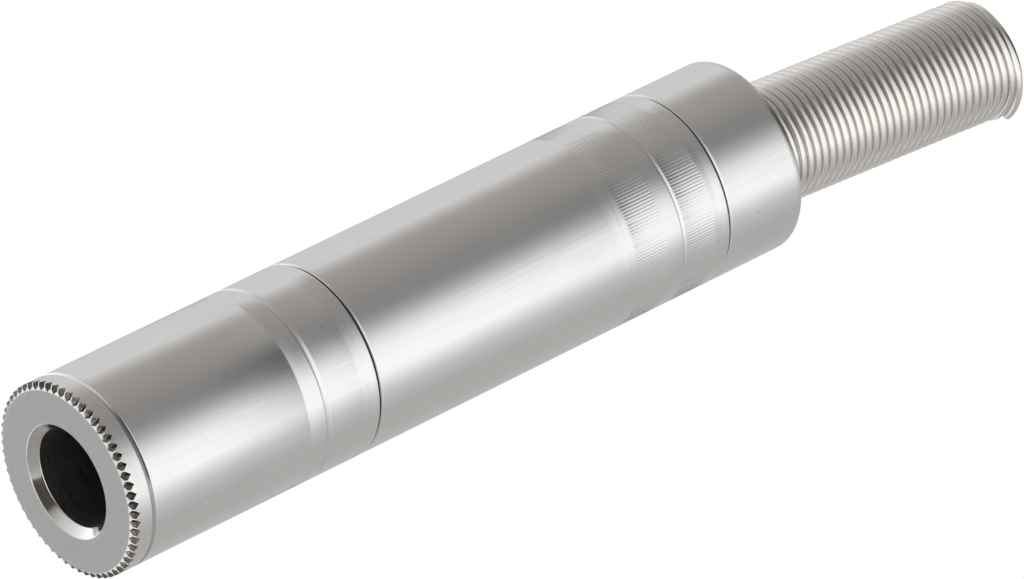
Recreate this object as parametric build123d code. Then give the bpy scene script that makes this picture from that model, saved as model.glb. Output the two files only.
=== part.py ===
from build123d import *
import math
import os

os.makedirs("parts", exist_ok=True)

# Inline phone jack: a metal cable socket for a quarter-inch plug, with a spring strain relief.
# Millimetres. Z is the plug's axis: 0 is the flat front face, and the cable leaves at the top.

# What the socket takes
plug_diameter = 6.35
plug_clearance = 0.075  # radial room round the plug
plug_reach = 30.5  # from the front face to the plug's nose
tip_contact_height = 26.4
ring_contact_height = 21.4

# Walls and rooms outwards from the plug, which together give the 13 mm body
bush_wall = 0.65
nut_wall = 0.5
nut_room = 0.07  # between the nut and the frame
sheet = 0.35  # the stamped frame's thickness
frame_room = 0.08  # between the frame and the sleeve's chamber
chamber_wall = 0.8
thread_clearance = 0.04
shell_wall = 0.76
slip = 0.03  # radial room between pieces of one assembly
running = 0.05  # room between pieces that move apart

# The outside
edge_chamfer = 0.12
joint_height = 19.75  # where the front sleeve ends and the grip barrel begins
grip_length = 29.35  # from that joint to the tail cap's
cap_length = 6.2
relief_length = 21.1  # the spring past the cap, as if its end were closed
tail_chamfer = 0.3
ring_length = 1.47  # the knurled rim that shows at the front
rim_gap = 0.13  # the open line between the rim and the front sleeve
rim_seat_depth = 0.8  # behind the rim, to the step that the sleeve meets
rim_chamfer_width = 0.45
rim_chamfer_length = 0.16
tooth_count = 62
tooth_length = 0.75
tooth_depth = 0.4
tooth_half_angle = 42.0
mouth_flare = 0.58

# Turned grooves on the outside
sleeve_groove_setback = 4.28  # from the sleeve's end
sleeve_groove_width = 0.2
sleeve_groove_depth = 0.14
grip_groove_setback = 3.9  # from the cap's joint
grip_groove_width = 0.16
grip_groove_depth = 0.08

# Threads are plain cylinders at their mean size
thread_length = 5.15
thread_lead = 0.2  # chamfer at the end of a male thread
bore_step_gap = 0.5
bush_length = 8.9
web_thickness = 2.4

# Contact frame, stamped from sheet
frame_strip_angle = 48.0
frame_washer_thickness = 0.4
bridge_half_width = 3.1
bridge_thickness = 0.4
bridge_room = 2.5  # from the plug's nose to the bridge
clamp_length = 2.6
clamp_angle = 250.0
clamp_end_gap = 0.2
tail_length = 11.6
solder_hole_radius = 0.7
lock_washer_thickness = 0.4
lock_washer_teeth = 10
lock_slot_width = 0.6
lock_slot_depth = 0.4
nut_length = 1.6
nut_slot_width = 0.8
nut_slot_depth = 0.7

# Contact stack
wafer_half_width = 2.8
corner_cut = 0.9
wafer_thickness = 0.8
contact_thickness = 0.3
backing_thickness = 0.4
rivet_offset = 1.45
rivet_radius = 0.55
rivet_head_radius = 0.95
rivet_head_length = 0.4
rivet_tube_wall = 0.24
foot_half_width = 2.5
arm_width = 2.4

# Contact springs
leaf_width = 2.2
leaf_thickness = 0.28
leaf_room = 0.35  # between the bridge's side and the leaf
contact_grip = 0.52  # how far each bump reaches inside the plug's radius
bump_run = 2.3
nose_run = 1.7
nose_lift = 0.5
leaf_bend = 0.55
lug_length = 4.4
lug_hole_radius = 0.6

# Liner and spring seat
liner_wall = 0.26
liner_room = 0.07  # between the frame and the liner
liner_start_gap = 0.7
seat_flange_room = 0.14
seat_flange_thickness = 0.8
spigot_wall = 0.31
seat_spigot_length = 1.7
spigot_room = 0.2  # the spring leans a little on its spigot

# Tail cap
barrel_neck_length = 2.9
cap_hole_clearance = 0.24
cap_hole_chamfer = 0.25

# Relief spring
coil_diameter = 8.14
wire_diameter = 0.61
turn_gap = 0.004
steps_per_turn = 12
spring_lean = 3.15  # degrees, as the photograph shows it
wire_end_angle = -93.0  # where the cut end of the wire lies
open_turns = 2  # the turns over which the end opens out
end_flare = 0.3
end_rise = 0.1

# Worked out from the sizes above
bore_radius = plug_diameter / 2 + plug_clearance
bush_thread_radius = bore_radius + bush_wall
bush_hole = bush_thread_radius + slip
nut_radius = bush_thread_radius + nut_wall
frame_inner = nut_radius + nut_room
frame_radius = frame_inner + sheet
chamber_radius = frame_radius + frame_room
thread_radius = chamber_radius + chamber_wall
thread_bore = thread_radius + thread_clearance
body_radius = thread_bore + shell_wall
rim_seat_radius = body_radius - rim_seat_depth
liner_inner = frame_radius + liner_room
liner_radius = liner_inner + liner_wall
barrel_bore = liner_radius + running
cap_joint_height = joint_height + grip_length
body_length = cap_joint_height + cap_length
sleeve_groove_height = joint_height - sleeve_groove_setback
grip_groove_height = cap_joint_height - grip_groove_setback
head_length = ring_length + rim_gap
web_back = head_length + web_thickness
frame_front = web_back + lock_washer_thickness
nut_front = frame_front + frame_washer_thickness
bridge_front = plug_reach + bridge_room
bridge_back = bridge_front + bridge_thickness
ring_foot = bridge_back + wafer_thickness
middle_wafer_front = ring_foot + contact_thickness
tip_foot = middle_wafer_front + wafer_thickness
rear_wafer_front = tip_foot + contact_thickness
backing_front = rear_wafer_front + wafer_thickness
backing_back = backing_front + backing_thickness
tube_radius = rivet_radius + slip + rivet_tube_wall
stack_hole = tube_radius + slip
lug_end = backing_back + lug_length
frame_end = bridge_back + tail_length
clamp_back = frame_end - clamp_end_gap
clamp_front = clamp_back - clamp_length
contact_radius = plug_diameter / 2 - contact_grip
leaf_offset = bridge_half_width + leaf_room + leaf_thickness / 2
sleeve_end = joint_height + thread_length
barrel_front = joint_height + running
cap_front = cap_joint_height + running
barrel_neck_end = cap_joint_height + barrel_neck_length
seat_front = barrel_neck_end + running
seat_back = seat_front + seat_flange_thickness
cap_wall_front = seat_back + running
coil_radius = (coil_diameter - wire_diameter) / 2
cap_hole = coil_diameter / 2 + cap_hole_clearance
seat_flange_radius = thread_bore - seat_flange_room
spigot_radius = coil_radius - wire_diameter / 2 - spigot_room
seat_bore_radius = spigot_radius - spigot_wall


def turned(points):
    """Turns an outline of (radius, height) points round the Z axis."""
    outline = Polyline([(radius, 0, height) for radius, height in points], close=True)
    return revolve(make_face(outline), axis=Axis.Z)


def tube(outer, inner, bottom, top):
    """A plain ring or tube."""
    return turned([(inner, bottom), (outer, bottom), (outer, top), (inner, top)])


def rod(radius, bottom, top, y):
    """A plain round bar along Z, off the axis by y."""
    upright = (Align.CENTER, Align.CENTER, Align.MIN)
    return Pos(0, y, bottom) * Cylinder(radius, top - bottom, align=upright)


def groove(radius, height, width, depth):
    """The ring that a pointed tool takes out of a turned surface."""
    bottom_corner = (radius + depth, height - width)
    top_corner = (radius + depth, height + width)
    return turned([(radius - depth, height), bottom_corner, top_corner])


def wall_cut(bottom, top, middle, sweep_angle):
    """A stretch of the frame's wall to cut away, middle degrees round from +X."""
    inner = frame_inner - sheet
    outer = frame_radius + sheet
    corners = [(inner, 0, bottom), (outer, 0, bottom), (outer, 0, top), (inner, 0, top)]
    wall = revolve(make_face(Polyline(corners, close=True)), axis=Axis.Z, revolution_arc=sweep_angle)
    return Rot(0, 0, middle - sweep_angle / 2) * wall


def rim_notch():
    """One V between two rim teeth: deepest at the face, running out behind."""
    root = body_radius - 2 * tooth_depth
    reach = 3 * tooth_depth
    half = reach * math.tan(math.radians(tooth_half_angle))
    corners = [(root, 0), (root + reach, half), (root + reach, -half)]
    section = Pos(0, 0, -tooth_length) * make_face(Polyline(corners, close=True))
    slant = Vector(tooth_depth, 0, tooth_length)
    return extrude(section, amount=2 * slant.length, dir=slant.normalized())


def make_front_bush():
    """Knurled socket bush: its bore guides the plug and touches the plug's sleeve."""
    bush = turned([
        (bore_radius + mouth_flare, 0),
        (body_radius - rim_chamfer_width, 0),
        (body_radius, rim_chamfer_length),
        (body_radius, ring_length),
        (rim_seat_radius, ring_length),
        (rim_seat_radius, head_length),
        (bush_thread_radius, head_length),
        (bush_thread_radius, bush_length),
        (bore_radius, bush_length),
        (bore_radius, mouth_flare),
    ])
    return bush - PolarLocations(0, tooth_count) * rim_notch()


def make_front_sleeve():
    """Front shell: a web that holds the bush, a chamber, and the thread for the barrel."""
    sleeve = turned([
        (bush_hole, head_length),
        (body_radius - edge_chamfer, head_length),
        (body_radius, head_length + edge_chamfer),
        (body_radius, joint_height - edge_chamfer),
        (body_radius - edge_chamfer, joint_height),
        (thread_radius, joint_height),
        (thread_radius, sleeve_end - thread_lead),
        (thread_radius - thread_lead, sleeve_end),
        (chamber_radius, sleeve_end),
        (chamber_radius, web_back),
        (bush_hole, web_back),
    ])
    return sleeve - groove(body_radius, sleeve_groove_height, sleeve_groove_width, sleeve_groove_depth)


def make_lock_washer():
    """Toothed washer between the web and the contact frame."""
    washer = tube(frame_radius, bush_hole, web_back, frame_front)
    slot = Pos(frame_radius, 0, web_back) * Box(
        2 * lock_slot_depth, lock_slot_width, 2 * lock_washer_thickness
    )
    return washer - PolarLocations(0, lock_washer_teeth) * slot


def make_contact_frame():
    """Stamped frame: washer, two strips, the bridge for the stack, and the cable clamp."""
    frame = turned([
        (bush_hole, frame_front),
        (frame_radius, frame_front),
        (frame_radius, frame_end),
        (frame_inner, frame_end),
        (frame_inner, bridge_back),
        (0, bridge_back),
        (0, bridge_front),
        (frame_inner, bridge_front),
        (frame_inner, nut_front),
        (bush_hole, nut_front),
    ])
    window_angle = 180 - frame_strip_angle
    outwards = (Align.MIN, Align.CENTER, Align.CENTER)
    side_room = Box(2 * frame_radius, 4 * frame_radius, 4 * bridge_thickness, align=outwards)
    for middle in (0, 180):
        frame -= wall_cut(nut_front, clamp_front, middle, window_angle)
        frame -= Rot(0, 0, middle) * Pos(bridge_half_width, 0, bridge_front) * side_room
    frame -= wall_cut(bridge_back, clamp_front, 90, window_angle)
    frame -= wall_cut(clamp_front, clamp_back, 90, 360 - clamp_angle)
    frame -= wall_cut(clamp_back, frame_end + sheet, 90, 360 - frame_strip_angle)
    for side in (-1, 1):
        frame -= rod(rivet_radius + slip, bridge_front, bridge_back, y=side * rivet_offset)
    hole_height = (backing_back + clamp_front) / 2
    frame -= Pos(0, -frame_radius, hole_height) * Rot(90, 0, 0) * Cylinder(solder_hole_radius, 4 * sheet)
    return frame


def make_frame_nut():
    """Slotted ring nut that pulls the frame and the bush together."""
    nut = tube(nut_radius, bush_hole, nut_front, nut_front + nut_length)
    slot = Pos(0, 0, nut_front + nut_length) * Box(4 * nut_radius, nut_slot_width, 2 * nut_slot_depth)
    return nut - slot


def stack_holes(bottom, top):
    """The two holes that the insulated rivets pass through."""
    upper = rod(stack_hole, bottom, top, y=rivet_offset)
    lower = rod(stack_hole, bottom, top, y=-rivet_offset)
    return upper + lower


def stack_plate(half_width, bottom, top):
    """A square plate of the stack with its corners cut off."""
    plate = Pos(0, 0, bottom) * Box(
        2 * half_width, 2 * half_width, top - bottom, align=(Align.CENTER, Align.CENTER, Align.MIN)
    )
    return chamfer(plate.edges().filter_by(Axis.Z), corner_cut)


def make_wafer(bottom):
    """Insulating wafer with two rivet holes."""
    top = bottom + wafer_thickness
    return stack_plate(wafer_half_width, bottom, top) - stack_holes(bottom, top)


def make_contact(side, bump_height, foot):
    """Contact spring: a straight leaf with a bump in front, a solder lug behind and a foot in the stack."""
    bump_offset = contact_radius + leaf_thickness / 2
    line = FilletPolyline(
        (leaf_offset, lug_end),
        (leaf_offset, bump_height + bump_run),
        (bump_offset, bump_height),
        (bump_offset + nose_lift, bump_height - nose_run),
        radius=leaf_bend,
    )
    side_view = Plane.XZ * trace(line, line_width=leaf_thickness)
    leaf = extrude(side_view, amount=leaf_width / 2, both=True)
    top = foot + contact_thickness
    arm = Pos(leaf_offset / 2, 0, (foot + top) / 2) * Box(leaf_offset, arm_width, contact_thickness)
    contact = leaf + arm + stack_plate(foot_half_width, foot, top)
    contact -= stack_holes(foot, top)
    hole_height = lug_end - 2 * lug_hole_radius
    lug_hole = Rot(0, 90, 0) * Cylinder(lug_hole_radius, 4 * leaf_thickness)
    contact -= Pos(leaf_offset, 0, hole_height) * lug_hole
    return Rot(0, 0, 0 if side > 0 else 180) * contact


def make_rivet_tube(side):
    """Insulating tube round one rivet, through the whole stack."""
    inner = rivet_radius + slip
    return Pos(0, side * rivet_offset, 0) * tube(tube_radius, inner, bridge_back, backing_front)


def make_rivet(side):
    """One rivet, with a head under the bridge and one behind the backing plate."""
    front = bridge_front - rivet_head_length
    back = backing_back + rivet_head_length
    rivet = turned([
        (0, front),
        (rivet_head_radius, front),
        (rivet_head_radius, bridge_front),
        (rivet_radius, bridge_front),
        (rivet_radius, backing_back),
        (rivet_head_radius, backing_back),
        (rivet_head_radius, back),
        (0, back),
    ])
    return Pos(0, side * rivet_offset, 0) * rivet


def make_backing_plate():
    """Steel plate behind the stack, which the rivets close on."""
    plate = stack_plate(wafer_half_width, backing_front, backing_back)
    for side in (-1, 1):
        plate -= rod(rivet_radius + slip, backing_front, backing_back, y=side * rivet_offset)
    return plate


def make_insulating_liner():
    """Plastic tube that keeps the solder joints off the barrel."""
    front = sleeve_end + liner_start_gap
    return tube(liner_radius, liner_inner, front, barrel_neck_end)


def make_grip_barrel():
    """Long shell that screws on the front sleeve, with a neck for the tail cap."""
    barrel = turned([
        (thread_bore, barrel_front),
        (body_radius - edge_chamfer, barrel_front),
        (body_radius, barrel_front + edge_chamfer),
        (body_radius, cap_joint_height - edge_chamfer),
        (body_radius - edge_chamfer, cap_joint_height),
        (thread_radius, cap_joint_height),
        (thread_radius, barrel_neck_end - thread_lead),
        (thread_radius - thread_lead, barrel_neck_end),
        (barrel_bore, barrel_neck_end),
        (barrel_bore, sleeve_end + bore_step_gap),
        (thread_bore, sleeve_end + bore_step_gap),
    ])
    return barrel - groove(body_radius, grip_groove_height, grip_groove_width, grip_groove_depth)


def make_spring_seat():
    """Flanged bush between the barrel and the cap: the spring stands on it."""
    return turned([
        (seat_bore_radius, seat_front),
        (seat_flange_radius, seat_front),
        (seat_flange_radius, seat_back),
        (spigot_radius, seat_back),
        (spigot_radius, seat_back + seat_spigot_length),
        (seat_bore_radius, seat_back + seat_spigot_length),
    ])


def make_tail_cap():
    """Cup that screws on the barrel's neck and lets the spring out."""
    return turned([
        (thread_bore, cap_front),
        (body_radius - edge_chamfer, cap_front),
        (body_radius, cap_front + edge_chamfer),
        (body_radius, body_length - tail_chamfer),
        (body_radius - tail_chamfer, body_length),
        (cap_hole + cap_hole_chamfer, body_length),
        (cap_hole, body_length - cap_hole_chamfer),
        (cap_hole, cap_wall_front),
        (thread_bore, cap_wall_front),
    ])


def make_relief_spring():
    """Close-wound spring with an opened end. The wire's section has its ridge outside."""
    lean_drop = coil_radius * math.sin(math.radians(spring_lean))
    start = seat_back + running + lean_drop + wire_diameter / 2
    pitch = wire_diameter + turn_gap
    turn_count = (body_length + relief_length - start - wire_diameter / 2) / pitch
    step_count = round(turn_count * steps_per_turn)
    half = wire_diameter / 2
    wire = make_face(Polyline((half, 0), (-half, half), (-half, -half), close=True))
    sections = []
    for step in range(step_count + 1):
        angle = math.radians(wire_end_angle + 360 * (step - step_count) / steps_per_turn)
        opened = max(0, 1 - (step_count - step) / (open_turns * steps_per_turn))
        radius = coil_radius + end_flare * opened
        height = pitch * step / steps_per_turn + end_rise * opened
        outwards = Vector(math.cos(angle), math.sin(angle), 0)
        along = Vector(-math.sin(angle), math.cos(angle), pitch / (2 * math.pi * radius))
        centre = outwards * radius + Vector(0, 0, height)
        sections.append(Plane(centre, x_dir=outwards, z_dir=along) * wire)
    return Pos(0, 0, start) * Rot(spring_lean, 0, 0) * loft(sections, ruled=True)


nodes = {
    "front_bush": make_front_bush(),
    "front_sleeve": make_front_sleeve(),
    "lock_washer": make_lock_washer(),
    "contact_frame": make_contact_frame(),
    "frame_nut": make_frame_nut(),
    "front_wafer": make_wafer(bridge_back),
    "middle_wafer": make_wafer(middle_wafer_front),
    "rear_wafer": make_wafer(rear_wafer_front),
    "backing_plate": make_backing_plate(),
    "upper_rivet": make_rivet(1),
    "lower_rivet": make_rivet(-1),
    "upper_rivet_tube": make_rivet_tube(1),
    "lower_rivet_tube": make_rivet_tube(-1),
    "tip_contact": make_contact(1, tip_contact_height, tip_foot),
    "ring_contact": make_contact(-1, ring_contact_height, ring_foot),
    "insulating_liner": make_insulating_liner(),
    "grip_barrel": make_grip_barrel(),
    "spring_seat": make_spring_seat(),
    "tail_cap": make_tail_cap(),
    "relief_spring": make_relief_spring(),
}

for name, solid in nodes.items():
    export_step(solid, f"parts/{name}.step")
    print(name, round(solid.volume, 2))
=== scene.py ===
import math
import random

import bmesh
import bpy
from mathutils import Matrix, Vector


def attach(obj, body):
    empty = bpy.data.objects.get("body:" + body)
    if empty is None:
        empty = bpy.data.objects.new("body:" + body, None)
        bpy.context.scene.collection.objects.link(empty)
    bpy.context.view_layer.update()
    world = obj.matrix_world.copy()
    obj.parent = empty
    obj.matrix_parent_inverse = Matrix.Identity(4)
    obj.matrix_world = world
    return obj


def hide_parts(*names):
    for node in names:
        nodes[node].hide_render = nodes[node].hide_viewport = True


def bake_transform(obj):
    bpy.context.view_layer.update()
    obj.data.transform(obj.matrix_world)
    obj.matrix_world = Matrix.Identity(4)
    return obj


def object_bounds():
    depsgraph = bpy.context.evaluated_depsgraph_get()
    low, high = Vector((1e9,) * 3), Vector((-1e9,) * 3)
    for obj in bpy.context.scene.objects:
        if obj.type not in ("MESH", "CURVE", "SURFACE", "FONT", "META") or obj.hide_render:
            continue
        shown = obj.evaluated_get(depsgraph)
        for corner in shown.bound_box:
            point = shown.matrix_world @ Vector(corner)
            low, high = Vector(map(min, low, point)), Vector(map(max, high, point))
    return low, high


# Inline phone jack in satin nickel, standing on its front face. Metres, z up the plug's axis.
# The photograph looks at the face from low down, so the camera lies under the floor's level.

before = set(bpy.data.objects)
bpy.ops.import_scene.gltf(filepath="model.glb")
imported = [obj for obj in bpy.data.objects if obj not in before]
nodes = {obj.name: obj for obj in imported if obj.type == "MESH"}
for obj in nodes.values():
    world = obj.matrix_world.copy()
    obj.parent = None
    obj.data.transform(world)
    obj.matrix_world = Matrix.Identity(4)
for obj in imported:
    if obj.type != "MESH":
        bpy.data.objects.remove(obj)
cadLow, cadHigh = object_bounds()
mm = 0.001
dice = random.Random(7)
print("frame loaded:", len(nodes), "nodes")


# Colours and nodes

def linearColour(code):
    # an sRGB hex value, as the sockets take it
    parts = [int(code[i:i + 2], 16) / 255 for i in (0, 2, 4)]
    return [c / 12.92 if c <= 0.04045 else ((c + 0.055) / 1.055) ** 2.4 for c in parts] + [1.0]


def perMm(size):
    # the scale that gives a pattern features of this size in millimetres
    return 1 / (size * mm)


def addNode(material, kind, sockets=None, **settings):
    node = material.node_tree.nodes.new("ShaderNode" + kind)
    for name, value in settings.items():
        setattr(node, name, value)
    for name, value in (sockets or {}).items():
        if isinstance(value, bpy.types.NodeSocket):
            material.node_tree.links.new(value, node.inputs[name])
        else:
            node.inputs[name].default_value = value
    return node


def newMaterial(name):
    material = bpy.data.materials.new(name)
    material.use_nodes = True
    material.node_tree.nodes.clear()
    return material


# Camera

cameraSettings = {
    "place": (-0.5947, -0.00145, -0.3595),
    "elevation": 33.59,  # degrees up from level, looking along +x
    "roll": 63.88,
    "lens": 398.1,
}

camera = bpy.data.objects.new("camera", bpy.data.cameras.new("camera"))
camera.data.lens = cameraSettings["lens"]
camera.data.sensor_width = 36
rise = math.radians(cameraSettings["elevation"])
look = Vector((math.cos(rise), 0, math.sin(rise)))
turn = look.to_track_quat("-Z", "Y").to_matrix()
roll = Matrix.Rotation(math.radians(cameraSettings["roll"]), 3, "Z")
camera.matrix_world = Matrix.Translation(cameraSettings["place"]) @ (turn @ roll).to_4x4()
bpy.context.scene.collection.objects.link(camera)
bpy.context.scene.camera = camera
bpy.context.scene.view_settings.view_transform = "Standard"
print("camera placed")


# Studio: a white room, cloth that the metal reflects, a pale floor and soft lamps

studio = {
    "roomLevel": 0.6,  # what the white room gives matt surfaces
    "clothRadius": 0.45,
    "clothSteps": 144,
    "discShare": 0.99,  # the lids' radius, of the cloth's
    "ceilingTone": 0.1,
    "bottomTone": 1.2,
    "cardReach": 0.06,
    "cardTilts": (-11, 19),  # degrees down and up from the middle of what the countersink mirrors
    "floorLevel": -0.23 * mm,  # the face stands that far out of the solid's
    "floorRadius": 0.17,
    "floorOverlap": 0.05 * mm,  # how far it goes in under the ring
    "floorFade": 0.045,  # where the floor begins to melt into the white
    "floorGone": 0.97,  # and where it has gone, of its radius
    "floorColour": "F4F3F1",
}

# Tones of the cloth: degrees round from the camera's side towards -y, brightness, colour
barrelTones = [
    (-180, 0.6, "FFFFFF"),
    (-150, 0.82, "FFFFFF"),
    (-104, 1.0, "FFFFFF"),
    (-94, 0.72, "FFFBF7"),
    (-84, 0.54, "FFF9F5"),
    (-70, 0.5, "FFF9F5"),
    (-50, 0.43, "FFFAF6"),
    (-34, 0.38, "FFFCFA"),
    (-18, 0.38, "FFFFFF"),
    (-6, 0.66, "FFFFFF"),
    (7, 1.15, "FFFFFF"),
    (19, 1.52, "FFFFFF"),
    (47, 1.62, "FFFFFF"),
    (56, 1.26, "FFFFFF"),
    (70, 0.84, "FFFFFF"),
    (92, 0.65, "FFFEFC"),
    (115, 0.65, "FFFCF9"),
    (150, 0.62, "FFFFFF"),
    (180, 0.6, "FFFFFF"),
]
levelTones = [
    (-180, 0.57, "FFFFFF"),
    (-168, 0.62, "FFFFFF"),
    (-155, 1.35, "FFFFFF"),
    (-112, 1.2, "FFFFFF"),
    (-96, 0.8, "FFFFFF"),
    (-76, 0.6, "FFFDFA"),
    (-58, 0.46, "FFFBF7"),
    (-38, 0.42, "FFFBF7"),
    (-22, 0.76, "FFFFFF"),
    (-4, 1.15, "FFFFFF"),
    (14, 1.5, "FFFFFF"),
    (46, 1.58, "FFFFFF"),
    (58, 1.25, "FFFFFF"),
    (71, 0.88, "FFFFFF"),
    (88, 0.67, "FFFEFC"),
    (125, 0.62, "FFFFFF"),
    (140, 0.8, "FFFFFF"),
    (150, 1.35, "FFFFFF"),
    (168, 0.62, "FFFFFF"),
    (180, 0.57, "FFFFFF"),
]
lowTones = [
    (-180, 0.57, "FFFFFF"),
    (-168, 0.62, "FFFFFF"),
    (-154, 1.3, "FFFFFF"),
    (-128, 1.4, "FFFFFF"),
    (-112, 0.75, "FFFFFF"),
    (-90, 0.62, "FFFFFF"),
    (-60, 0.42, "FFFFFF"),
    (-32, 0.5, "FFFFFF"),
    (-18, 1.0, "FFFFFF"),
    (-6, 1.3, "FFFFFF"),
    (14, 1.7, "FFFFFF"),
    (46, 1.8, "FFFFFF"),
    (66, 1.05, "FFFFFF"),
    (88, 0.66, "FFFFFF"),
    (112, 0.8, "FFFFFF"),
    (130, 1.4, "FFFFFF"),
    (154, 1.3, "FFFFFF"),
    (168, 0.62, "FFFFFF"),
    (180, 0.57, "FFFFFF"),
]
highTones = [
    (-180, 0.75, "FFFFFF"),
    (-108, 0.66, "FFFFFF"),
    (-92, 0.55, "FFFFFF"),
    (-60, 0.58, "FFFDFA"),
    (-42, 0.34, "FFFDFA"),
    (-28, 0.07, "FFFDFA"),
    (4, 0.05, "FFFFFF"),
    (28, 0.52, "FFFFFF"),
    (51, 1.0, "FFFFFF"),
    (71, 0.76, "FFFFFF"),
    (100, 0.66, "FFFFFF"),
    (180, 0.75, "FFFFFF"),
]

# The card under the mouth: degrees that the countersink's normals turn, brightness, colour
mouthTones = [
    (-100, 2.2, "FFFFFF"),
    (-60, 1.2, "FFFFFF"),
    (-40, 0.88, "FFFFFF"),
    (-26, 0.6, "FFFAF6"),
    (-18, 0.09, "FFE9DC"),
    (17, 0.08, "FFE9DC"),
    (19, 0.8, "FFFDFA"),
    (28, 0.56, "FFFAF6"),
    (60, 0.46, "FFF9F5"),
    (100, 0.46, "FFFAF6"),
]

# Heights in metres, and the tones that the cloth has there
clothRows = [
    (-1.2, lowTones),
    (-0.3, lowTones),
    (-0.12, levelTones),
    (0.1, levelTones),
    (0.22, barrelTones),
    (0.38, barrelTones),
    (0.5, highTones),
    (1.2, highTones),
]


def toneAt(tones, angle):
    for (before, low, lowColour), (after, high, highColour) in zip(tones, tones[1:]):
        if before <= angle <= after:
            share = (angle - before) / (after - before)
            start = Vector(linearColour(lowColour)[:3]) * low
            end = Vector(linearColour(highColour)[:3]) * high
            return (*start.lerp(end, share), 1)
    return (1, 1, 1, 1)


def finishObject(name, shape):
    data = bpy.data.meshes.new(name)
    shape.to_mesh(data)
    shape.free()
    made = bpy.data.objects.new(name, data)
    bpy.context.scene.collection.objects.link(made)
    return made


def reflectedOnly(thing):
    # the metal mirrors it, and it throws neither light nor shadow on anything matt
    thing.visible_camera = False
    thing.visible_diffuse = False
    thing.visible_transmission = False
    thing.visible_shadow = False


def glowingMaterial(name):
    material = newMaterial(name)
    tone = addNode(material, "VertexColor", layer_name="glow")
    glow = addNode(material, "Emission", {"Color": tone.outputs["Color"], "Strength": 1})
    addNode(material, "OutputMaterial", {"Surface": glow.outputs[0]})
    return material


def hangCloth():
    # a tall round screen, its tones held by its corners, with a disc over it and one under it
    shape = bmesh.new()
    layer = shape.verts.layers.float_color.new("glow")
    radius = studio["clothRadius"]
    camerasSide = math.pi
    low = clothRows[0][0]
    high = clothRows[-1][0]
    bmesh.ops.create_grid(
        shape, x_segments=studio["clothSteps"], y_segments=len(clothRows) - 1, size=1,
    )
    for vert in shape.verts:
        angle = vert.co.x * 180
        height, tones = clothRows[round((vert.co.y + 1) / 2 * (len(clothRows) - 1))]
        turned = camerasSide + math.radians(angle)
        vert.co = (radius * math.cos(turned), radius * math.sin(turned), height)
        vert[layer] = toneAt(tones, angle)
    bmesh.ops.remove_doubles(shape, verts=shape.verts[:], dist=0.001)
    for height, tone in ((low, studio["bottomTone"]), (high, studio["ceilingTone"])):
        disc = bmesh.ops.create_circle(
            shape, cap_ends=True, segments=studio["clothSteps"],
            radius=radius * studio["discShare"], matrix=Matrix.Translation((0, 0, height)),
        )
        for vert in disc["verts"]:
            vert[layer] = (tone, tone, tone, 1)
    cloth = finishObject("studio_cloth", shape)
    cloth.data.materials.append(glowingMaterial("backlit studio cloth"))
    reflectedOnly(cloth)


hangCloth()


def hangCard():
    # a strip bent round under the mouth, where the countersink mirrors it to the camera
    shape = bmesh.new()
    layer = shape.verts.layers.float_color.new("glow")
    corners = []
    for turned, *_ in mouthTones:
        side = math.radians(turned)
        outwards = Vector((-math.cos(side), -math.sin(side), -1)).normalized()
        towards = outwards * 2 * outwards.dot(-look) + look
        across = towards.cross(Vector((0, 0, 1))).normalized()
        for tilt in studio["cardTilts"]:
            ray = Matrix.Rotation(math.radians(tilt), 3, across) @ towards
            corner = shape.verts.new(ray * studio["cardReach"])
            corner[layer] = toneAt(mouthTones, turned)
            corners.append(corner)
    for index in range(0, len(corners) - 2, 2):
        lower, upper, nextLower, nextUpper = corners[index:index + 4]
        shape.faces.new((lower, upper, nextUpper, nextLower))
    card = finishObject("mouth_card", shape)
    # a glowing card, no lamp: the countersink mirrors its bright and dark glow as a reflection
    card.data.materials.append(glowingMaterial("backlit mouth card"))
    reflectedOnly(card)


hangCard()


def makeFloor():
    # a ring round the part's foot, seen from above only, because the camera looks up through it
    shape = bmesh.new()
    radii = (cadHigh.x - studio["floorOverlap"], studio["floorRadius"])
    ends = [shape.verts.new((radius, 0, studio["floorLevel"])) for radius in radii]
    shape.edges.new(ends)
    bmesh.ops.spin(
        shape, geom=shape.verts[:] + shape.edges[:], cent=(0, 0, 0), axis=(0, 0, 1),
        angle=2 * math.pi, steps=96, use_merge=True,
    )
    bmesh.ops.recalc_face_normals(shape, faces=shape.faces[:])
    if shape.faces[:][0].normal.z < 0:
        bmesh.ops.reverse_faces(shape, faces=shape.faces[:])
    floor = finishObject("floor", shape)
    material = newMaterial("pale matt card")
    place = addNode(material, "TexCoord")
    reach = addNode(material, "VectorMath", {0: place.outputs["Object"]}, operation="LENGTH")
    fade = addNode(material, "MapRange", {
        "Value": reach.outputs["Value"],
        "From Min": studio["floorFade"],
        "From Max": studio["floorRadius"] * studio["floorGone"],
        "To Min": 1.0,
        "To Max": 0.0,
    }, interpolation_type="SMOOTHERSTEP")
    side = addNode(material, "NewGeometry")
    front = addNode(material, "Math", {0: 1.0, 1: side.outputs["Backfacing"]}, operation="SUBTRACT")
    shown = addNode(material, "Math", {0: fade.outputs[0], 1: front.outputs[0]}, operation="MULTIPLY")
    matt = addNode(material, "BsdfDiffuse", {"Color": linearColour(studio["floorColour"])})
    clear = addNode(material, "BsdfTransparent")
    mix = addNode(material, "MixShader", {0: shown.outputs[0], 1: clear.outputs[0], 2: matt.outputs[0]})
    addNode(material, "OutputMaterial", {"Surface": mix.outputs[0]})
    floor.data.materials.append(material)
    floor.visible_glossy = False  # the metal mirrors the cloth in its place


makeFloor()

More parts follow.
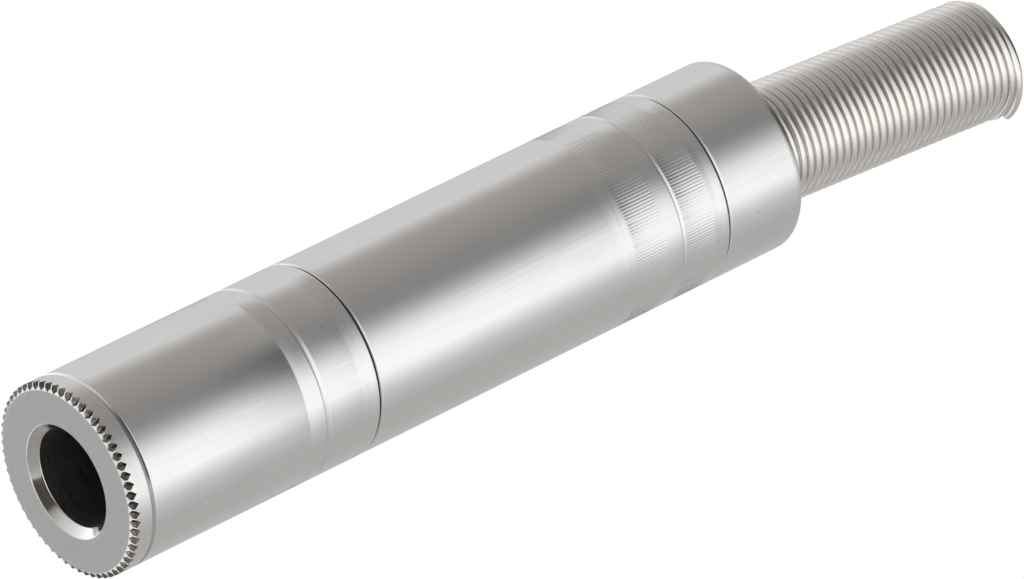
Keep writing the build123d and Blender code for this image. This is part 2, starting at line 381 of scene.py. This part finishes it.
room = bpy.data.worlds.new("white room")
room.use_nodes = True
room.node_tree.nodes.clear()
rays = addNode(room, "LightPath")
seen = rays.outputs["Is Camera Ray"]
for kind in ("Is Glossy Ray", "Is Transmission Ray"):
    seen = addNode(room, "Math", {0: seen, 1: rays.outputs[kind]}, operation="MAXIMUM").outputs[0]
level = addNode(room, "MapRange", {"Value": seen, "To Min": studio["roomLevel"], "To Max": 1.0})
backdrop = addNode(room, "Background", {"Color": (1, 1, 1, 1), "Strength": level.outputs[0]})
addNode(room, "OutputWorld", {"Surface": backdrop.outputs[0]})
bpy.context.scene.world = room

# Place, watts, width: they light the matt parts and throw the soft shadow
lamps = {
    "key_lamp": ((-0.45, -0.55, 0.85), 3.2, 0.5),
    "fill_lamp": ((0.6, 0.35, 0.7), 1.6, 0.6),
}
for name, (place, power, width) in lamps.items():
    lamp = bpy.data.objects.new(name, bpy.data.lights.new(name, "AREA"))
    lamp.data.energy = power
    lamp.data.size = width
    lamp.location = place
    lamp.rotation_euler = Vector(place).to_track_quat("Z", "Y").to_euler()
    lamp.visible_glossy = False
    bpy.context.scene.collection.objects.link(lamp)
print("studio lit")


# Finishes

def metalFinish(name, recipe):
    # the marks run along z where axial is set, and round z as a lathe leaves them where it isn't
    material = newMaterial(name)
    place = addNode(material, "TexCoord").outputs["Object"]
    if recipe["axial"]:
        stretch = (1, 1, 0.02)
        marks = addNode(material, "Mapping", {"Vector": place, "Scale": stretch}).outputs[0]
    else:
        flat = addNode(material, "VectorMath", {0: place, 1: (1, 1, 0)}, operation="MULTIPLY")
        reach = addNode(material, "VectorMath", {0: flat.outputs[0]}, operation="LENGTH")
        apart = addNode(material, "SeparateXYZ", {0: place})
        marks = addNode(material, "CombineXYZ", {
            "X": reach.outputs["Value"], "Z": apart.outputs["Z"],
        }).outputs[0]
    streaks = addNode(material, "TexNoise", {
        "Vector": marks, "Scale": perMm(recipe["markWidth"]), "Detail": 3.0, "Roughness": 0.6,
    })
    grain = addNode(material, "TexNoise", {
        "Vector": place, "Scale": perMm(recipe["grainSize"]), "Detail": 2.0,
    })
    cloud = addNode(material, "TexNoise", {
        "Vector": place, "Scale": perMm(recipe["cloudSize"]), "Detail": 2.0,
    })
    cells = addNode(material, "TexVoronoi", {
        "Vector": place, "Scale": perMm(recipe["pitSpacing"]), "Randomness": 1.0,
    })
    pit = addNode(material, "MapRange", {
        "Value": cells.outputs["Distance"], "From Min": 0.015, "From Max": 0.05,
    })
    tint = addNode(material, "Mix", {
        0: cloud.outputs["Fac"],
        6: linearColour(recipe["colour"]),
        7: linearColour(recipe["secondColour"]),
    }, data_type="RGBA")
    shade = addNode(material, "Mix", {
        0: pit.outputs[0], 6: linearColour(recipe["pitColour"]), 7: tint.outputs[2],
    }, data_type="RGBA")
    gloss = addNode(material, "MapRange", {
        "Value": streaks.outputs["Fac"],
        "From Min": 0.3,
        "From Max": 0.7,
        "To Min": recipe["roughness"] - recipe["roughnessSpread"],
        "To Max": recipe["roughness"] + recipe["roughnessSpread"],
    })
    markBump = addNode(material, "Bump", {
        "Strength": 1.0, "Distance": recipe["markDepth"] * mm, "Height": streaks.outputs["Fac"],
    })
    grainBump = addNode(material, "Bump", {
        "Strength": 1.0,
        "Distance": recipe["grainDepth"] * mm,
        "Height": grain.outputs["Fac"],
        "Normal": markBump.outputs[0],
    })
    pitBump = addNode(material, "Bump", {
        "Strength": 1.0,
        "Distance": recipe["pitDepth"] * mm,
        "Height": pit.outputs[0],
        "Normal": grainBump.outputs[0],
    })
    colour = shade.outputs[2]
    # painted shade: faces marked in the vertex colours get darker tones, mottled by the grain
    if recipe.get("paintedNotchShade"):
        deep, raised = recipe["paintedNotchShade"]
        notchShadeMask = addNode(material, "VertexColor", layer_name="paintedNotchShade")
        mottle = addNode(material, "MapRange", {
            "Value": grain.outputs["Fac"], "From Min": 0.35, "From Max": 0.65,
        })
        notchShadeTone = addNode(material, "Mix", {
            0: mottle.outputs[0], 6: linearColour(deep), 7: linearColour(raised),
        }, data_type="RGBA")
        colour = addNode(material, "Mix", {
            0: notchShadeMask.outputs["Color"], 6: colour, 7: notchShadeTone.outputs[2],
        }, data_type="RGBA").outputs[2]
    shader = addNode(material, "BsdfPrincipled", {
        "Base Color": colour,
        "Metallic": 1.0,
        "Roughness": gloss.outputs[0],
        "Normal": pitBump.outputs[0],
    })
    addNode(material, "OutputMaterial", {"Surface": shader.outputs[0]})
    return material


# Nickel plate on turned brass, satin: soft-edged reflections, faint lines along the barrel
satinNickel = metalFinish("satin nickel plate", {
    "colour": "CFCFCE",
    "secondColour": "C9C8C7",
    "pitColour": "B4B2AF",
    "roughness": 0.2,
    "roughnessSpread": 0.04,
    "axial": True,
    "markWidth": 0.16,
    "markDepth": 0.0009,
    "grainSize": 0.11,  # the plate's grain is finer, and this is what shows
    "grainDepth": 0.0006,
    "cloudSize": 2.5,
    "pitSpacing": 2.4,
    "pitDepth": 0.002,
})

# The same plate on the bush, whose end was faced on the lathe: rings, and a fine bright speckle;
# painted shade darkens its notch flanks
facedNickel = metalFinish("faced nickel plate", {
    "colour": "CECECD",
    "secondColour": "C6C5C4",
    "pitColour": "DADAD8",
    # painted shade for the notch flanks: the darker and the lighter tone of its mottle
    "paintedNotchShade": ("4C4744", "8C8682"),
    "roughness": 0.25,
    "roughnessSpread": 0.04,
    "axial": False,
    "markWidth": 0.14,
    "markDepth": 0.0008,
    "grainSize": 0.12,
    "grainDepth": 0.0012,
    "cloudSize": 1.5,
    "pitSpacing": 0.8,
    "pitDepth": 0.008,
})

# The same plate in the countersink, which a finer tool cut: glossier, with round tool lines
countersunkNickel = metalFinish("countersunk nickel plate", {
    "colour": "CDCCCB",
    "secondColour": "C2C0BE",
    "pitColour": "B9B5B1",
    "roughness": 0.13,
    "roughnessSpread": 0.04,
    "axial": False,
    "markWidth": 0.1,
    "markDepth": 0.0008,
    "grainSize": 0.12,
    "grainDepth": 0.0005,
    "cloudSize": 0.9,
    "pitSpacing": 1.6,
    "pitDepth": 0.002,
})

# Drawn steel wire with a bright nickel flash: glossier and warmer than the barrel
springWire = metalFinish("nickel-plated spring wire", {
    "colour": "D2CFCB",
    "secondColour": "C9C6C1",
    "pitColour": "B5B0A9",
    "roughness": 0.15,
    "roughnessSpread": 0.04,
    "axial": False,
    "markWidth": 0.12,
    "markDepth": 0.0006,
    "grainSize": 0.12,
    "grainDepth": 0.0008,
    "cloudSize": 1.2,
    "pitSpacing": 2.2,
    "pitDepth": 0.002,
})

# Tinned brass sheet, stamped: pale grey and a little cloudy
tinnedSheet = metalFinish("tinned brass sheet", {
    "colour": "C9CBCB",
    "secondColour": "B4B5B2",
    "pitColour": "83827E",
    "roughness": 0.32,
    "roughnessSpread": 0.08,
    "axial": True,
    "markWidth": 0.2,
    "markDepth": 0.001,
    "grainSize": 0.2,
    "grainDepth": 0.0015,
    "cloudSize": 1.6,
    "pitSpacing": 1.1,
    "pitDepth": 0.005,
})

# Zinc-plated steel: bluish grey with a fine matt crystal
zincSteel = metalFinish("zinc-plated steel", {
    "colour": "AEB4BA",
    "secondColour": "9BA1A6",
    "pitColour": "6E7276",
    "roughness": 0.36,
    "roughnessSpread": 0.08,
    "axial": False,
    "markWidth": 0.1,
    "markDepth": 0.0015,
    "grainSize": 0.14,
    "grainDepth": 0.002,
    "cloudSize": 1.0,
    "pitSpacing": 0.9,
    "pitDepth": 0.006,
})

# Phosphor bronze strip, cold rolled: warm, springy, with rolling lines along the leaf
phosphorBronze = metalFinish("phosphor bronze strip", {
    "colour": "C8966C",
    "secondColour": "B98258",
    "pitColour": "7A5233",
    "roughness": 0.27,
    "roughnessSpread": 0.07,
    "axial": True,
    "markWidth": 0.1,
    "markDepth": 0.001,
    "grainSize": 0.16,
    "grainDepth": 0.001,
    "cloudSize": 1.2,
    "pitSpacing": 1.3,
    "pitDepth": 0.004,
})

# Yellow brass rivets with heads dulled by the press
rivetBrass = metalFinish("yellow brass", {
    "colour": "D6B36A",
    "secondColour": "C49F56",
    "pitColour": "7F6531",
    "roughness": 0.3,
    "roughnessSpread": 0.08,
    "axial": False,
    "markWidth": 0.09,
    "markDepth": 0.0015,
    "grainSize": 0.12,
    "grainDepth": 0.0015,
    "cloudSize": 0.7,
    "pitSpacing": 0.8,
    "pitDepth": 0.005,
})


def plasticFinish(name, recipe):
    material = newMaterial(name)
    place = addNode(material, "TexCoord").outputs["Object"]
    fibre = addNode(material, "Mapping", {"Vector": place, "Scale": recipe["stretch"]})
    weave = addNode(material, "TexNoise", {
        "Vector": fibre.outputs[0], "Scale": perMm(recipe["patternSize"]), "Detail": 4.0,
    })
    tint = addNode(material, "Mix", {
        0: weave.outputs["Fac"],
        6: linearColour(recipe["colour"]),
        7: linearColour(recipe["secondColour"]),
    }, data_type="RGBA")
    spread = 0.08
    gloss = addNode(material, "MapRange", {
        "Value": weave.outputs["Fac"],
        "To Min": recipe["roughness"] - spread,
        "To Max": recipe["roughness"] + spread,
    })
    bump = addNode(material, "Bump", {
        "Strength": 1.0, "Distance": recipe["depth"] * mm, "Height": weave.outputs["Fac"],
    })
    shader = addNode(material, "BsdfPrincipled", {
        "Base Color": tint.outputs[2],
        "Roughness": gloss.outputs[0],
        "IOR": recipe["ior"],
        "Transmission Weight": recipe["clearness"],
        "Normal": bump.outputs[0],
    })
    addNode(material, "OutputMaterial", {"Surface": shader.outputs[0]})
    return material


# Phenolic paper board: caramel brown, its paper fibres just showing, waxy sheen
phenolicBoard = plasticFinish("phenolic paper board", {
    "colour": "8A5A32",
    "secondColour": "6E4423",
    "roughness": 0.42,
    "ior": 1.6,
    "clearness": 0.0,
    "patternSize": 0.25,
    "stretch": (1, 0.3, 1),
    "depth": 0.004,
})

# Natural nylon: milky, slightly see-through
nylonTube = plasticFinish("natural nylon", {
    "colour": "E6E2D6",
    "secondColour": "DAD5C6",
    "roughness": 0.38,
    "ior": 1.53,
    "clearness": 0.2,
    "patternSize": 0.5,
    "stretch": (1, 1, 1),
    "depth": 0.001,
})

# Extruded PVC tube: grey-white, faint draw lines along its length
linerTube = plasticFinish("extruded vinyl tube", {
    "colour": "E3E3DE",
    "secondColour": "D5D5CF",
    "roughness": 0.34,
    "ior": 1.54,
    "clearness": 0.25,
    "patternSize": 0.3,
    "stretch": (1, 1, 0.02),
    "depth": 0.002,
})
print("finishes mixed")


# Turned pieces

fineWeld = 0.0005 * mm
weld = 0.002 * mm
slack = 0.01  # millimetres, for telling points by their place
support = {
    "reach": 2.5,  # from a rounded corner to its support point, in roundings
    "shortestSide": 2.5,  # that takes one, in reaches
}
threadForm = {
    "pitch": 0.75,
    "halfWidth": 0.42,  # of the pitch
    "sink": 0.04,  # how deep the ridge stands in its wall
    "steps": 96,
}
ringShares = (0.3, 1.0)  # how much of its full depth a lathe mark has


def besideCorner(corner, neighbour):
    # a plain point near a rounded corner, so that the rounding's shading ends there
    if len(corner) < 3:
        return []
    start = Vector(corner[:2])
    way = Vector(neighbour[:2]) - start
    reach = corner[2] * support["reach"]
    if way.length < reach * support["shortestSide"]:
        return []
    return [tuple(start + way.normalized() * reach)]


def spinRound(bareOutline, steps):
    # an outline of (radius, height) or (radius, height, rounding) corners, in millimetres
    shape = bmesh.new()
    outline = []
    for index, corner in enumerate(bareOutline):
        after = bareOutline[(index + 1) % len(bareOutline)]
        outline += [*besideCorner(corner, bareOutline[index - 1]), corner, *besideCorner(corner, after)]
    corners = [shape.verts.new((corner[0] * mm, 0, corner[1] * mm)) for corner in outline]
    for here, after in zip(corners, corners[1:] + corners[:1]):
        shape.edges.new((here, after))
    roundings = {}
    for vert, corner in zip(corners, outline):
        if len(corner) == 3:
            roundings.setdefault(corner[2], []).append(vert)
    for rounding, verts in roundings.items():
        bmesh.ops.bevel(
            shape, geom=verts, offset=rounding * mm, segments=3, profile=0.5,
            affect="VERTICES", material=-1,
        )
    bmesh.ops.spin(
        shape, geom=shape.verts[:] + shape.edges[:], cent=(0, 0, 0), axis=(0, 0, 1),
        angle=2 * math.pi, steps=steps, use_merge=True,
    )
    bmesh.ops.remove_doubles(shape, verts=shape.verts[:], dist=fineWeld)
    bmesh.ops.recalc_face_normals(shape, faces=shape.faces[:])
    return shape


def windTurns(section, turns, pitch, steps):
    # whole turns of a wire or ridge: one is spun from its (radius, height) corners, then stacked
    shape = bmesh.new()
    corners = [shape.verts.new((radius * mm, 0, height * mm)) for radius, height in section]
    for here, after in zip(corners, corners[1:] + corners[:1]):
        shape.edges.new((here, after))
    bmesh.ops.spin(
        shape, geom=shape.verts[:] + shape.edges[:], cent=(0, 0, 0), axis=(0, 0, 1),
        dvec=(0, 0, pitch / steps * mm), angle=2 * math.pi, steps=steps, use_merge=False,
    )
    oneTurn = shape.verts[:] + shape.edges[:] + shape.faces[:]
    for number in range(1, turns):
        copied = bmesh.ops.duplicate(shape, geom=oneTurn)["geom"]
        corners = [part for part in copied if isinstance(part, bmesh.types.BMVert)]
        bmesh.ops.translate(shape, vec=(0, 0, number * pitch * mm), verts=corners)
    bmesh.ops.remove_doubles(shape, verts=shape.verts[:], dist=weld)
    bmesh.ops.holes_fill(shape, edges=shape.edges[:], sides=len(section))
    bmesh.ops.recalc_face_normals(shape, faces=shape.faces[:])
    return shape


def joinInto(shape, part):
    carrier = bpy.data.meshes.new("carrier")
    part.to_mesh(carrier)
    part.free()
    shape.from_mesh(carrier)
    bpy.data.meshes.remove(carrier)


def addThread(shape, wall, crest, low, turns):
    half = threadForm["pitch"] * threadForm["halfWidth"]
    root = wall - threadForm["sink"]
    section = [(root, low - half), (crest, low), (root, low + half)]
    joinInto(shape, windTurns(section, turns, threadForm["pitch"], threadForm["steps"]))


def fineRings(radius, low, high, spacing, depth):
    # shallow lathe marks, as extra points of an outline that runs upwards
    count = round((high - low) / spacing)
    marks = []
    for index in range(count + 1):
        height = low + (high - low) * index / count
        cut = depth * dice.uniform(*ringShares) if index % 2 else 0
        marks.append((radius - cut, height))
    return marks


def smoothShade(made, sharpAngle=32):
    made.data.shade_smooth()
    made.data.set_sharp_from_angle(angle=math.radians(sharpAngle))


def dress(made, body, slot, material, *replaced):
    made.data.materials.append(material)
    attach(made, body)
    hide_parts(*replaced)


bush = {
    "rimRadius": 6.5,
    "face": -0.23,
    "ringEnd": 1.26,
    "headEnd": 1.36,
    "seatRadius": 5.7,
    "chamferWidth": 0.45,
    "chamferLength": 0.2,
    "boreRadius": 3.25,
    "flare": 0.58,
    "brim": 0.02,  # the part of the flare that keeps the face's finish
    "threadRadius": 3.72,
    "threadCrest": 3.89,
    "threadLow": 2.2,
    "threadTurns": 8,
    "length": 8.9,
    "teeth": 62,
    "toothEnd": 0.31,
    "notchHalfWidth": 0.285,
    # radius and height, half way down the chamfer and at its foot
    "notchFloor": ((6.15, -0.05), (6.3, 0.13)),
    "sharpAngle": 22,
}


def cutTeeth(shape):
    # four columns to a tooth: the notch's floor, its two brims and the middle of the land
    radius = bush["rimRadius"]
    toothAngle = 2 * math.pi / bush["teeth"]
    brimAngle = bush["notchHalfWidth"] / radius
    foot = bush["face"] + bush["chamferLength"]
    floor = []
    ends = []
    for vert in shape.verts:
        reach = math.hypot(vert.co.x, vert.co.y) / mm
        height = vert.co.z / mm
        if reach < radius - bush["chamferWidth"] - slack or height > bush["toothEnd"] + slack:
            continue
        angle = math.atan2(vert.co.y, vert.co.x) / toothAngle
        column = round((angle - math.floor(angle)) * 4) % 4
        if column in (1, 3):
            side = 1 if column == 1 else -1
            turned = Matrix.Rotation(side * (brimAngle - toothAngle / 4), 3, "Z")
            vert.co = turned @ vert.co
        if column == 0 and bush["face"] + slack < height < foot + slack:
            sunkReach, sunkHeight = bush["notchFloor"][0 if height < foot - slack else 1]
            factor = sunkReach / reach
            vert.co = (vert.co.x * factor, vert.co.y * factor, sunkHeight * mm)
            floor.append(vert)
        elif column == 0:
            ends.append(vert)
    return floor, ends


def foldNotches(shape, floor, ends):
    # the faces at both ends of a notch fold between its point and its brim, and its flanks stay flat
    points = set(ends)
    for vert in floor:
        for face in vert.link_faces[:]:
            point = next((corner for corner in face.verts if corner in points), None)
            if point is None:
                continue
            sides = [edge for edge in vert.link_edges if edge in face.edges[:]]
            brim = next(side.other_vert(vert) for side in sides if side.other_vert(vert) != point)
            bmesh.ops.connect_verts(shape, verts=[point, brim])
    return {face for vert in floor for face in vert.link_faces}


def makeBush():
    radius = bush["rimRadius"]
    face = bush["face"]
    mouthRadius = bush["boreRadius"] + bush["flare"]
    shape = spinRound([
        (mouthRadius, face, 0.035),
        (radius - bush["chamferWidth"], face),
        (radius - bush["chamferWidth"] / 2, face + bush["chamferLength"] / 2),
        (radius, face + bush["chamferLength"]),
        (radius, bush["toothEnd"]),
        (radius, bush["ringEnd"], 0.05),
        (bush["seatRadius"], bush["ringEnd"]),
        (bush["seatRadius"], bush["headEnd"]),
        (bush["threadRadius"], bush["headEnd"]),
        (bush["threadRadius"], bush["length"], 0.1),
        (bush["boreRadius"], bush["length"], 0.08),
        (bush["boreRadius"], face + bush["flare"], 0.05),
    ], bush["teeth"] * 4)
    addThread(
        shape, bush["threadRadius"], bush["threadCrest"], bush["threadLow"], bush["threadTurns"],
    )
    flanks = foldNotches(shape, *cutTeeth(shape))
    # painted shade on the notch flanks, where the knurl's notches fall in shade
    layer = shape.loops.layers.float_color.new("paintedNotchShade")
    for part in shape.faces:
        shade = 1 if part in flanks else 0
        for corner in part.loops:
            corner[layer] = (shade, shade, shade, 1)
        middle = part.calc_center_median() / mm
        inMouth = math.hypot(middle.x, middle.y) < mouthRadius - bush["brim"]
        if inMouth and middle.z < face + bush["flare"]:
            part.material_index = 1
    made = finishObject("bush_turned", shape)
    smoothShade(made, bush["sharpAngle"])
    dress(made, "front_assembly", "nickel_bush", facedNickel, "front_bush")
    made.data.materials.append(countersunkNickel)


makeBush()
print("bush turned and knurled")

shell = {
    "radius": 6.5,
    "steps": 260,
    "edge": 0.1,
    "edgeRounding": 0.03,
    "sleeveFront": 1.36,
    "frontEdge": 0.2,
    "webBack": 4.0,
    "bushHole": 3.93,
    "chamberRadius": 4.9,
    "faintLine": (14.0, 0.05, 0.012),  # height, half width, depth
    "sleeveGroove": 15.47,
    "grooveHalfWidth": 0.18,
    "grooveHalfFloor": 0.03,  # flat at the bottom
    "grooveDepth": 0.13,
    "markBand": (18.35, 19.1, 0.06, 0.014),  # from, to, spacing, depth
    "joint": 19.72,
    "threadRadius": 5.55,
    "threadCrest": 5.7,
    "threadLow": 0.6,  # over the joint
    "threadTurns": 5,
    "sleeveEnd": 24.9,
}


def makeSleeve():
    radius = shell["radius"]
    edge = shell["edge"]
    rounding = shell["edgeRounding"]
    line, lineHalf, lineDepth = shell["faintLine"]
    groove = shell["sleeveGroove"]
    grooveHalf = shell["grooveHalfWidth"]
    grooveFloor = radius - shell["grooveDepth"]
    outline = [
        (shell["bushHole"], shell["sleeveFront"]),
        (radius - shell["frontEdge"], shell["sleeveFront"], rounding),
        (radius, shell["sleeveFront"] + shell["frontEdge"], rounding),
        (radius, line - lineHalf),
        (radius - lineDepth, line),
        (radius, line + lineHalf),
        (radius, groove - grooveHalf, rounding),
        (grooveFloor, groove - shell["grooveHalfFloor"]),
        (grooveFloor, groove + shell["grooveHalfFloor"]),
        (radius, groove + grooveHalf, rounding),
        *fineRings(radius, *shell["markBand"]),
        (radius, shell["joint"] - edge, rounding),
        (radius - edge, shell["joint"], rounding),
        (shell["threadRadius"], shell["joint"]),
        (shell["threadRadius"], shell["sleeveEnd"], 0.12),
        (shell["chamberRadius"], shell["sleeveEnd"], 0.1),
        (shell["chamberRadius"], shell["webBack"]),
        (shell["bushHole"], shell["webBack"]),
    ]
    shape = spinRound(outline, shell["steps"])
    addThread(
        shape, shell["threadRadius"], shell["threadCrest"],
        shell["joint"] + shell["threadLow"], shell["threadTurns"],
    )
    made = finishObject("sleeve_turned", shape)
    smoothShade(made)
    dress(made, "front_assembly", "nickel_shell", satinNickel, "front_sleeve")


makeSleeve()
print("sleeve turned")

grip = {
    "front": 19.81,
    "capJoint": 49.08,
    "neckEnd": 52.0,
    "bore": 5.2,
    "threadBore": 5.74,
    "threadBoreEnd": 25.4,
    "threadLow": 0.5,  # over the cap's joint
    "threadTurns": 2,
    "groove": 45.2,
    "grooveHalfWidth": 0.13,
    "grooveDepth": 0.08,
    "ringBand": (39.9, 41.0, 0.12, 0.02),  # from, to, spacing, depth
    "endBand": (47.95, 48.4, 0.11, 0.02),
    "knurlBands": ((41.15, 43.8), (45.4, 47.8)),
    "knurlLines": 196,
    "stepsPerLine": 3,
    "knurlDepth": (0.018, 0.034),
    "knurlReach": 0.1,  # how near a line's middle its points lie, of the spacing
    "runOut": 0.08,
}


def pressKnurl(shape, band):
    # one row of points in three goes in, so that flat lands stay between fine V lines
    low, high = band
    lineAngle = 2 * math.pi / grip["knurlLines"]
    lines = {}
    for vert in shape.verts:
        height = vert.co.z / mm
        reach = math.hypot(vert.co.x, vert.co.y) / mm
        if not low + grip["runOut"] / 2 < height < high - grip["runOut"] / 2:
            continue
        place = math.atan2(vert.co.y, vert.co.x) / lineAngle
        if reach > shell["radius"] - slack and abs(place - round(place)) < grip["knurlReach"]:
            lines.setdefault(round(place) % grip["knurlLines"], []).append(vert)
    for number in sorted(lines):
        depth = dice.uniform(*grip["knurlDepth"])
        factor = 1 - depth / shell["radius"]
        bmesh.ops.scale(shape, vec=(factor, factor, 1), verts=lines[number])


def makeBarrel():
    radius = shell["radius"]
    edge = shell["edge"]
    rounding = shell["edgeRounding"]
    runOut = grip["runOut"]
    groove = grip["groove"]
    grooveHalf = grip["grooveHalfWidth"]
    bandPoints = []
    for low, high in grip["knurlBands"]:
        heights = (low, low + runOut, high - runOut, high)
        bandPoints.append([(radius, height) for height in heights])
    outline = [
        (grip["threadBore"], grip["front"]),
        (radius - edge, grip["front"], rounding),
        (radius, grip["front"] + edge, rounding),
        *fineRings(radius, *grip["ringBand"]),
        *bandPoints[0],
        (radius, groove - grooveHalf, 0.02),
        (radius - grip["grooveDepth"], groove),
        (radius, groove + grooveHalf, 0.02),
        *bandPoints[1],
        *fineRings(radius, *grip["endBand"]),
        (radius, grip["capJoint"] - edge, rounding),
        (radius - edge, grip["capJoint"], rounding),
        (shell["threadRadius"], grip["capJoint"]),
        (shell["threadRadius"], grip["neckEnd"], 0.12),
        (grip["bore"], grip["neckEnd"], 0.08),
        (grip["bore"], grip["threadBoreEnd"]),
        (grip["threadBore"], grip["threadBoreEnd"]),
    ]
    shape = spinRound(outline, grip["knurlLines"] * grip["stepsPerLine"])
    for band in grip["knurlBands"]:
        pressKnurl(shape, band)
    addThread(
        shape, shell["threadRadius"], shell["threadCrest"],
        grip["capJoint"] + grip["threadLow"], grip["threadTurns"],
    )
    made = finishObject("barrel_turned", shape)
    smoothShade(made)
    dress(made, "barrel", "nickel_shell", satinNickel, "grip_barrel")


makeBarrel()
print("barrel turned and knurled")

cap = {
    "front": 49.15,
    "end": 55.3,
    "tailRounding": 0.2,
    "wallFront": 52.9,
    "hole": 4.31,
    "threadBore": 5.74,
}


def makeCap():
    radius = shell["radius"]
    edge = shell["edge"]
    rounding = shell["edgeRounding"]
    shape = spinRound([
        (cap["threadBore"], cap["front"]),
        (radius - edge, cap["front"], rounding),
        (radius, cap["front"] + edge, rounding),
        (radius, cap["end"], cap["tailRounding"]),
        (cap["hole"], cap["end"], 0.15),
        (cap["hole"], cap["wallFront"]),
        (cap["threadBore"], cap["wallFront"]),
    ], shell["steps"])
    made = finishObject("cap_turned", shape)
    smoothShade(made)
    dress(made, "barrel", "nickel_shell", satinNickel, "tail_cap")


makeCap()
print("cap turned")

coil = {
    "radius": 3.765,
    "wire": 0.305,
    "wireSides": 16,
    "pitch": 0.614,
    "turns": 37,
    "stepsPerTurn": 48,
    "foot": 53.41,
    "end": 76.34,
    "lean": 3.15,  # degrees towards -y
    "endAngle": -96,
    "openTurns": 1.3,  # how many turns before its end the coil begins to open
    "endFlare": -0.08,
    "endShift": 0.52,  # towards -y
    "lift": 0.4,  # the last turn stands off the one before and comes back down on it
    "liftTurns": (1.0, 0.5, 0.3),  # where it leaves, is highest and lands, in turns before the end
    "tailDrop": 0.2,  # how much the last half turn's end comes down
    "sharpAngle": 50,
    "bend": (55.0, 76.3),  # the heights from the cap to its end
}


def smoothStep(share):
    return share * share * (3 - 2 * share)


def openedPlace(point):
    # where the wound wire's point goes when the coil's end is bent open
    part = (math.degrees(math.atan2(point.y, point.x)) - coil["endAngle"]) / 360
    before = (coil["end"] - point.z / mm) / coil["pitch"]
    before = round(before + part) - part
    opened = max(0, 1 - before / coil["openTurns"])
    leave, top, land = coil["liftTurns"]
    lift = 0
    if top < before < leave:
        lift = smoothStep((leave - before) / (leave - top))
    elif land < before <= top:
        lift = smoothStep((before - land) / (top - land))
    drop = coil["tailDrop"] * smoothStep(max(0, 1 - before * 2))
    outwards = Vector((point.x, point.y, 0)).normalized()
    shift = outwards * coil["endFlare"] + Vector((0, -coil["endShift"], 0))
    return point + (shift * opened + Vector((0, 0, coil["lift"] * lift - drop))) * mm


def makeSpring():
    low = coil["end"] - coil["turns"] * coil["pitch"]
    section = []
    for side in range(coil["wireSides"]):
        angle = 2 * math.pi * side / coil["wireSides"]
        radius = coil["radius"] + coil["wire"] * math.cos(angle)
        section.append((radius, low + coil["wire"] * math.sin(angle)))
    shape = windTurns(section, coil["turns"], coil["pitch"], coil["stepsPerTurn"])
    endTurn = Matrix.Rotation(math.radians(coil["endAngle"]), 3, "Z")
    bmesh.ops.rotate(shape, matrix=endTurn, verts=shape.verts[:])
    for vert in shape.verts:
        vert.co = openedPlace(vert.co)
    foot = Vector((0, 0, coil["foot"] * mm))
    lean = Matrix.Rotation(math.radians(coil["lean"]), 3, "X")
    bmesh.ops.rotate(shape, cent=foot, matrix=lean, verts=shape.verts[:])
    made = finishObject("spring_wound", shape)
    smoothShade(made, coil["sharpAngle"])
    made.data.materials.append(springWire)
    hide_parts("relief_spring")
    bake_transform(made)


makeSpring()
print("spring wound")


# Contacts: the solid's own form with more cuts along it

contactCuts = 24
contacts = {
    "tip_contact": {
        "body": "tip_spring",
        "side": 3.59,
        "cutSpan": (24.9, 37.0),
        "root": 35.2,
        "tip": 29.0,
    },
    "ring_contact": {
        "body": "ring_spring",
        "side": -3.59,
        "cutSpan": (19.9, 36.0),
        "root": 34.1,
        "tip": 27.0,
    },
}


def makeContact(name, leaf):
    shape = bmesh.new()
    shape.from_mesh(nodes[name].data)
    bmesh.ops.remove_doubles(shape, verts=shape.verts[:], dist=weld)
    bmesh.ops.dissolve_limit(
        shape, angle_limit=math.radians(1), verts=shape.verts[:], edges=shape.edges[:],
    )
    low, high = leaf["cutSpan"]
    for index in range(contactCuts):
        height = low + (high - low) * index / (contactCuts - 1)
        bmesh.ops.bisect_plane(
            shape, geom=shape.verts[:] + shape.edges[:] + shape.faces[:],
            plane_co=(0, 0, height * mm), plane_no=(0, 0, 1), dist=weld / 2,
        )
    made = finishObject(name + "_strip", shape)
    smoothShade(made)
    made.data.materials.append(phosphorBronze)
    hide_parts(name)
    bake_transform(made)


for name, leaf in contacts.items():
    makeContact(name, leaf)


# The solids that stay as they are get their finish

finishes = {
    "spring_seat": satinNickel,
    "contact_frame": tinnedSheet,
    "lock_washer": zincSteel,
    "frame_nut": zincSteel,
    "backing_plate": zincSteel,
    "front_wafer": phenolicBoard,
    "middle_wafer": phenolicBoard,
    "rear_wafer": phenolicBoard,
    "upper_rivet": rivetBrass,
    "lower_rivet": rivetBrass,
    "upper_rivet_tube": nylonTube,
    "lower_rivet_tube": nylonTube,
    "insulating_liner": linerTube,
}
for name, material in finishes.items():
    for materialSlot in nodes[name].material_slots:
        materialSlot.material = material
print("solids finished")
